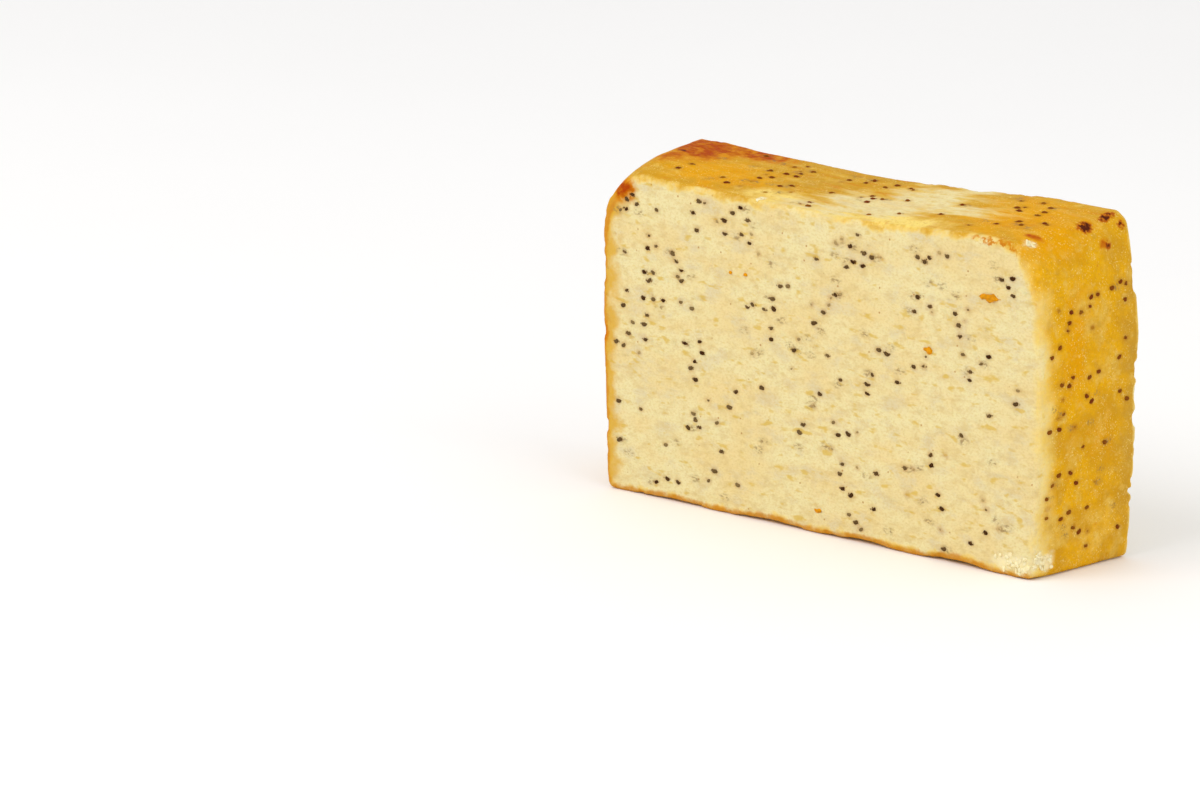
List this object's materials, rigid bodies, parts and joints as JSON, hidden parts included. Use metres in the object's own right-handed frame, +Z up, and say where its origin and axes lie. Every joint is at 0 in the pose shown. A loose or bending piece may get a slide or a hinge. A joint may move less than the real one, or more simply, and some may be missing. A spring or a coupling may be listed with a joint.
{
  "type": "lemon poppy seed loaf slice",
  "caption": "Thick upright slice of pale yellow poppy seed loaf cake for serving, cut on its broad faces and crusted elsewhere.",
  "frame": {"origin": "middle of the base of the slice's box, on the surface that it stands on", "axes": "+X along the slice's width, +Y from the shown cut face through its thickness to the hidden one, +Z up through the top crust"},
  "size_m": [0.1116, 0.027, 0.0683],
  "materials": {
    "crumb": "soft, moist and matt"
  },
  "bodies": {
    "root": {"loaf": "crumb"}
  },
  "joints": []
}
